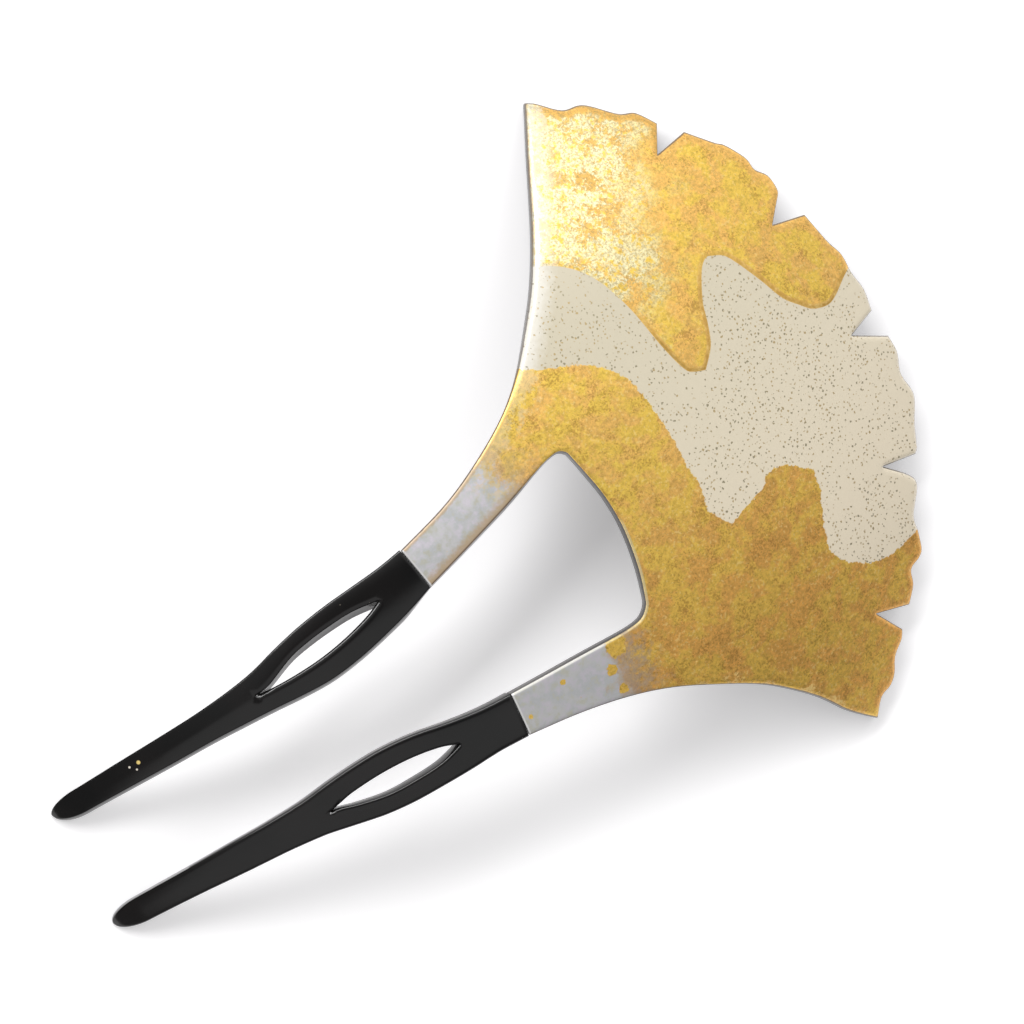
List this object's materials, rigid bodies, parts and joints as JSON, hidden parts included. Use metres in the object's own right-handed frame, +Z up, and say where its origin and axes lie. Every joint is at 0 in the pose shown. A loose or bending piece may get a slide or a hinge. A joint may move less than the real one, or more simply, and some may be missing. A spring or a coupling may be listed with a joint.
{
  "type": "ginkgo leaf kanzashi",
  "caption": "Arched two-pronged hair pin with a ginkgo-leaf plate in gold, cream and silver lacquer and black prongs with almond eyes.",
  "frame": {"origin": "centre of the bounding box at the surface that the pin lies on, with the arched side up", "axes": "+X runs along the pin from the prong tips to the leaf, +Y is the left side, +Z is up"},
  "size_m": [0.1335, 0.099, 0.0201],
  "materials": {
    "gold_leaf_lacquer": "gold leaf over lacquer, with a cream lacquer field and silver leaf on the arm ends",
    "black_lacquer": "glossy black lacquer"
  },
  "bodies": {
    "root": {"leaf": "gold_leaf_lacquer", "prong_left": "black_lacquer", "prong_right": "black_lacquer"}
  },
  "joints": []
}
